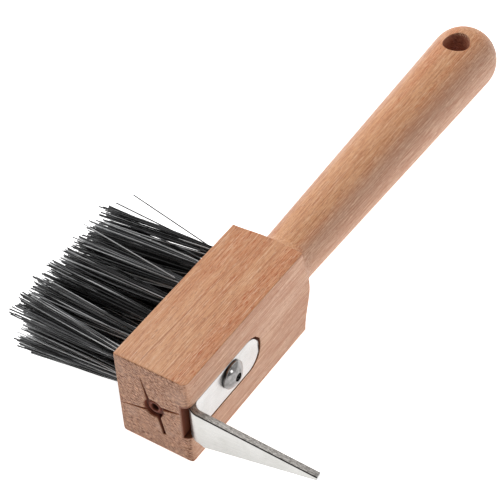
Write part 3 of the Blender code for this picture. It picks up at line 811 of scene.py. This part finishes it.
def pick_stations():
    """Points along the bar's middle surface, from the round end, each with its reach up and down."""
    half = (bar_top() - bar_bottom()) / 2
    middle_y = PICK_FACE_Y + BAR_THICKNESS / 2
    arc_steps = 24
    for step in range(1, arc_steps + 1):
        angle = math.pi / 2 * step / arc_steps
        reach = half * math.sin(angle)
        yield pick_high.x - half * (1 - math.cos(angle)), middle_y, reach, reach
    turn = math.pi / 2 - HOOK_LEAN
    bend_x = pick_low.x + BEND_RADIUS + BAR_THICKNESS / 2
    bend_y = middle_y - BEND_RADIUS
    bend_steps = 16
    for step in range(bend_steps + 1):
        angle = turn * step / bend_steps
        yield bend_x - BEND_RADIUS * math.sin(angle), bend_y + BEND_RADIUS * math.cos(angle), half, half
    hook_x = bend_x - BEND_RADIUS * math.sin(turn)
    hook_y = bend_y + BEND_RADIUS * math.cos(turn)
    tip_y = pick_low.y + BAR_THICKNESS / 2 * math.sin(HOOK_LEAN)
    length = (hook_y - tip_y) / math.cos(HOOK_LEAN)
    steps = 14
    for part in (HEEL_RUN / length / 2, HEEL_RUN / length, *(step / steps for step in range(1, steps + 1))):
        up = half + (TIP_WIDTH / 2 - half) * part
        heel = min(1.0, part * length / HEEL_RUN)
        down = up + HEEL_SPREAD * heel * (1 - part)
        along = length * part
        yield hook_x + along * math.sin(HOOK_LEAN), hook_y - along * math.cos(HOOK_LEAN), up, down


def make_pick():
    """A ribbon along the bar's middle surface, thickened, drilled and rounded."""
    shape = bmesh.new()
    rungs = []
    for x, y, up, down in pick_stations():
        low = shape.verts.new((x, y, MID_Z - down))
        high = shape.verts.new((x, y, MID_Z + up))
        rungs.append((low, high))
    for (low, high), (next_low, next_high) in zip(rungs, rungs[1:]):
        shape.faces.new((low, next_low, next_high, high))
    pick = mesh_object("steel_pick", shape)
    plate = pick.modifiers.new("Bar thickness", "SOLIDIFY")
    plate.thickness = BAR_THICKNESS
    plate.offset = 0.0
    plate.use_even_offset = True
    bpy.context.view_layer.update()
    apply_modifiers(pick)
    place = across_block(RIVET_X, PICK_FACE_Y, RIVET_Z)
    boolean(pick, cylinders_object("pick_hole", RIVET_HOLE_RADIUS, PICK_HOLE_LENGTH, 48, [place]))
    rounding = pick.modifiers.new("Eased edges", "BEVEL")
    rounding.width = BAR_EDGE_ROUND
    rounding.segments = 3
    rounding.angle_limit = math.radians(50.0)
    rounding.use_clamp_overlap = False
    bpy.context.view_layer.update()
    apply_modifiers(pick)
    smooth(pick, 35.0)
    return finish_piece(pick, "pick_steel", pick_material(), "pick")


# Blind rivet ---------------------------------------------------------------------------

HEAD_RADIUS = (rivet_high.x - rivet_low.x) / 2
UNDERSIDE_Y = PICK_FACE_Y - RIVET_HEAD_SINK


def dome_height(radius):
    rise = RIVET_HEAD_HEIGHT - RIVET_RIM_HEIGHT
    ball = (HEAD_RADIUS**2 + rise**2) / (2 * rise)
    return RIVET_HEAD_HEIGHT - ball + math.sqrt(ball**2 - radius**2)


def on_rivet_axis(item):
    item.location = (RIVET_X, UNDERSIDE_Y, RIVET_Z)
    item.rotation_euler = (math.pi / 2, 0.0, 0.0)
    return item


def make_rivet():
    """Domed head with a rolled rim and a turned-in lip round the mandrel."""
    sleeve_end = UNDERSIDE_Y - rivet_high.y
    rim = RIVET_EDGE_ROUND
    lip = RIVET_LIP_ROUND
    profile = [(RIVET_BORE_RADIUS, dome_height(RIVET_BORE_RADIUS) - 1.2 * MM)]
    for step in range(6):
        angle = math.pi / 2 * step / 5
        radius = RIVET_BORE_RADIUS + lip * (1 - math.cos(angle))
        profile.append((radius, dome_height(radius) - lip * (1 - math.sin(angle))))
    steps = 20
    start = RIVET_BORE_RADIUS + lip
    for step in range(1, steps + 1):
        radius = start + (HEAD_RADIUS - rim - start) * step / steps
        profile.append((radius, dome_height(radius)))
    edge = dome_height(HEAD_RADIUS - rim)
    for step in range(1, 6):
        angle = math.pi / 2 * step / 5
        profile.append((HEAD_RADIUS - rim + rim * math.sin(angle), edge - rim * (1 - math.cos(angle))))
    profile.append((HEAD_RADIUS, 0.15 * MM))
    profile.append((HEAD_RADIUS - 0.15 * MM, 0.0))
    profile.append((RIVET_SLEEVE_RADIUS, 0.0))
    profile.append((RIVET_SLEEVE_RADIUS, sleeve_end))
    profile.append((RIVET_BORE_RADIUS, sleeve_end))
    rivet = on_rivet_axis(turned_object("blind_rivet", profile, 96, closed=True))
    bpy.context.view_layer.update()
    apply_modifiers(rivet)
    smooth(rivet, 35.0)
    return finish_piece(rivet, "rivet_steel", rivet_material(), "rivet_body")


def make_mandrel():
    """Snapped stub: an uneven end just below the head's lip, and the bulb in the wood."""
    top = dome_height(RIVET_BORE_RADIUS) - MANDREL_SET_BACK
    bulb_end = UNDERSIDE_Y - mandrel_high.y
    bulb_top = bulb_end + 2.6 * MM
    bulb_radius = (mandrel_high.x - mandrel_low.x) / 2
    profile = [
        (0.0, top - 0.45 * MM),
        (0.35 * MM, top - 0.3 * MM),
        (0.7 * MM, top),
        (1.0 * MM, top - 0.05 * MM),
        (1.15 * MM, top - 0.3 * MM),
        (1.2 * MM, top - 1.4 * MM),
        (MANDREL_RADIUS, top - 1.6 * MM),
        (MANDREL_RADIUS, bulb_top),
        (bulb_radius - 0.3 * MM, bulb_top),
        (bulb_radius, bulb_top - 0.3 * MM),
        (bulb_radius, bulb_end + 0.6 * MM),
        (bulb_radius - 0.6 * MM, bulb_end),
        (0.0, bulb_end),
    ]
    stub = on_rivet_axis(turned_object("rivet_stub", profile, 64))
    bpy.context.view_layer.update()
    apply_modifiers(stub)
    smooth(stub, 50.0)
    return finish_piece(stub, "mandrel_steel", mandrel_material(), "rivet_mandrel")


# Bristles ------------------------------------------------------------------------------


def tuft_tip(name):
    """Centre and radius of the tips of a CAD tuft."""
    _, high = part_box(name)
    corners = [corner.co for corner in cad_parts[name].data.vertices]
    tips = [corner for corner in corners if corner.y > high.y - TUFT_TIP_ZONE]
    centre = sum(tips, Vector()) / len(tips)
    radius = max(math.hypot(tip.x - centre.x, tip.z - centre.z) for tip in tips)
    return Vector((centre.x, high.y, centre.z)), radius


def filament_path(root, tip, lean, power, bow):
    """Out of the hole, then along the tuft's straight lean, spreading early, with a slight bow."""
    mouth = Vector((root.x, FACE_Y, root.z))
    yield Vector((root.x, FACE_Y - ROOT_DEPTH, root.z))
    yield mouth
    for step in range(1, FILAMENT_RINGS - 1):
        part = step / (FILAMENT_RINGS - 2)
        spread = Vector((tip.x - mouth.x, 0.0, tip.z - mouth.z)) - lean
        forward = Vector((0.0, (tip.y - mouth.y) * part, 0.0))
        yield mouth + lean * part + spread * part**power + forward + bow * math.sin(math.pi * part)


def add_filament(shape, strand_layer, strand, points):
    """A closed tube through the points, each corner carrying the strand's own shade."""
    # Light strands, the painted highlights, are thinner.
    radius = FILAMENT_RADIUS * (1.0 - HIGHLIGHT_STRAND_THINNING * strand)
    rings = []
    for point in points:
        ring = []
        for side in range(FILAMENT_SIDES):
            angle = 2 * math.pi * side / FILAMENT_SIDES
            offset = Vector((math.cos(angle), 0.0, math.sin(angle))) * radius
            corner = shape.verts.new(point + offset)
            corner[strand_layer] = strand
            ring.append(corner)
        rings.append(ring)
    for ring, further in zip(rings, rings[1:]):
        for side in range(FILAMENT_SIDES):
            following = (side + 1) % FILAMENT_SIDES
            face = shape.faces.new((ring[side], further[side], further[following], ring[following]))
            face.smooth = True
    shape.faces.new(rings[0])
    shape.faces.new(tuple(reversed(rings[-1])))


def row_of(name):
    return int(name.removeprefix("tuft_row").split("_")[0])


def spread_of(name, out):
    """Tip spread along X and up, and flare power. Tufts open early between those above them."""
    row = row_of(name)
    in_row = [other for other in tuft_names() if row_of(other) == row]
    at_handle = row in (1, 4) and name == in_row[-1] and out.x > 0.0
    outward = at_handle or (name == in_row[0] and out.x < 0.0)
    if outward or (row == 1 and name not in in_row[-2:]):
        return TOP_TIP_SPREAD, TOP_TIP_SPREAD, TOP_FLARE_POWER
    return LOWER_TIP_SPREAD, LOWER_TIP_RISE, LOWER_FLARE_POWER


def make_tuft(name, material, draw):
    x, z = hole_axis(name)
    tip_centre, tip_radius = tuft_tip(name)
    tip_centre.x += ROW_TIP_SHIFTS[row_of(name) - 1]
    if row_of(name) in (2, 3) and x > LAST_TUFT_FROM:
        tip_centre.x += LAST_TUFT_SHIFT
    lean = Vector((tip_centre.x - x, 0.0, tip_centre.z - z))
    golden = math.pi * (3 - math.sqrt(5))
    shape = bmesh.new()
    strand_layer = shape.verts.layers.float.new("strand")
    for index in range(FILAMENTS_PER_TUFT):
        share = math.sqrt((index + 0.5) / FILAMENTS_PER_TUFT)
        angle = golden * index + draw.uniform(-0.15, 0.15)
        out = Vector((math.cos(angle), 0.0, math.sin(angle)))
        along, rise, power = spread_of(name, out)
        root = Vector((x, 0.0, z)) + out * share * (TUFT_ROOT_RADIUS - FILAMENT_RADIUS)
        reach = share * tip_radius * draw.uniform(0.8, 1.15)
        scatter = Vector((draw.gauss(0.0, SIDE_SCATTER), 0.0, draw.gauss(0.0, SIDE_SCATTER)))
        tip = tip_centre + Vector((out.x * along, 0.0, out.z * rise)) * reach + scatter
        tip.y -= abs(draw.gauss(0.0, LENGTH_SCATTER))
        bow = Vector((draw.gauss(0.0, BOW), 0.0, draw.gauss(0.0, BOW)))
        add_filament(shape, strand_layer, draw.random(), list(filament_path(root, tip, lean, power, bow)))
    for stray_of, shade, offset in STRAYS:
        if stray_of == name:
            tip = tip_centre + Vector(offset)
            path = filament_path(Vector((x, 0.0, z)), tip, lean, 1.0, Vector((0.0, 0.0, 0.0)))
            add_filament(shape, strand_layer, shade, list(path))
    bmesh.ops.recalc_face_normals(shape, faces=shape.faces)
    item = mesh_object(name.replace("tuft", "bristles"), shape)
    return finish_piece(item, "bristle", material, name)


def make_bristles():
    draw = random.Random(BRISTLE_SEED)
    material = bristle_material()
    for name in tuft_names():
        make_tuft(name, material, draw)


def finish_staples():
    material = staple_material()
    for name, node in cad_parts.items():
        if name.startswith("staple_"):
            node.data.materials.clear()
            node.data.materials.append(material)


# Stage, light and camera ---------------------------------------------------------------


def make_floor():
    shape = bmesh.new()
    bmesh.ops.create_grid(shape, x_segments=1, y_segments=1, size=6.0)
    floor = mesh_object("floor", shape)
    floor.location.z = cad_low.z - FLOOR_GAP
    t = Tree("floor_paper")
    fibre = t.noise(t.mapping((0.02, 0.02, 0.02)), detail=2.0)
    colour = t.mix(fibre, (0.76, 0.76, 0.76, 1.0), (0.82, 0.82, 0.82, 1.0))
    t.shader.inputs["Emission Color"].default_value = (1.0, 1.0, 1.0, 1.0)
    t.shader.inputs["Emission Strength"].default_value = FLOOR_GLOW
    t.set(Base_Color=colour, Roughness=0.9)
    floor.data.materials.append(t.material)


def area_light(name, place, target, size, power):
    data = bpy.data.lights.new(name, "AREA")
    data.shape = "RECTANGLE"
    data.size, data.size_y = size
    data.energy = power
    lamp = link(bpy.data.objects.new(name, data))
    lamp.location = place
    lamp.rotation_euler = (Vector(target) - Vector(place)).to_track_quat("-Z", "Y").to_euler()


def make_world():
    """Soft studio surround: darker on the open side of the tent, bright at its back."""
    world = bpy.data.worlds.new("studio")
    bpy.context.scene.world = world
    world.use_nodes = True
    nodes = world.node_tree.nodes
    links = world.node_tree.links
    place = nodes.new("ShaderNodeTexCoord")
    toward = nodes.new("ShaderNodeVectorMath")
    toward.operation = "DOT_PRODUCT"
    toward.inputs[1].default_value = Vector(OPEN_SIDE).normalized()
    links.new(place.outputs["Generated"], toward.inputs[0])
    ramp = nodes.new("ShaderNodeValToRGB")
    ramp.color_ramp.interpolation = "EASE"
    ramp.color_ramp.elements[0].position = 0.35
    ramp.color_ramp.elements[0].color = (TENT_BRIGHT, TENT_BRIGHT, TENT_BRIGHT, 1.0)
    ramp.color_ramp.elements[1].position = 0.85
    ramp.color_ramp.elements[1].color = (TENT_DARK, TENT_DARK, TENT_DARK, 1.0)
    links.new(toward.outputs["Value"], ramp.inputs["Fac"])
    links.new(ramp.outputs["Color"], nodes["Background"].inputs["Color"])


def glint_line():
    """A place from which a small light is mirrored toward the camera by the rivet's upper dome."""
    dome = Vector((RIVET_X, rivet_low.y, RIVET_Z))
    facing = Vector(GLINT_FACING).normalized()
    toward_camera = (Vector(CAMERA_PLACE) - dome).normalized()
    mirrored = 2 * facing.dot(toward_camera) * facing - toward_camera
    return dome + mirrored * GLINT_DISTANCE, dome


def make_lights():
    middle = (cad_low + cad_high) / 2
    area_light("key", middle + Vector(KEY_OFFSET), middle, KEY_SIZE, KEY_POWER)
    area_light("glint", *glint_line(), GLINT_SIZE, GLINT_POWER)


def make_camera():
    data = bpy.data.cameras.new("camera")
    data.sensor_width = 36.0
    data.lens = CAMERA_LENS
    data.clip_end = 20.0
    camera = link(bpy.data.objects.new("camera", data))
    camera.location = CAMERA_PLACE
    camera.rotation_euler = [math.radians(part) for part in CAMERA_TURN]
    bpy.context.scene.camera = camera
    bpy.context.scene.view_settings.view_transform = "Standard"


make_camera()
make_world()
make_lights()
make_floor()
make_body()
make_pick()
make_rivet()
make_mandrel()
make_bristles()
finish_staples()
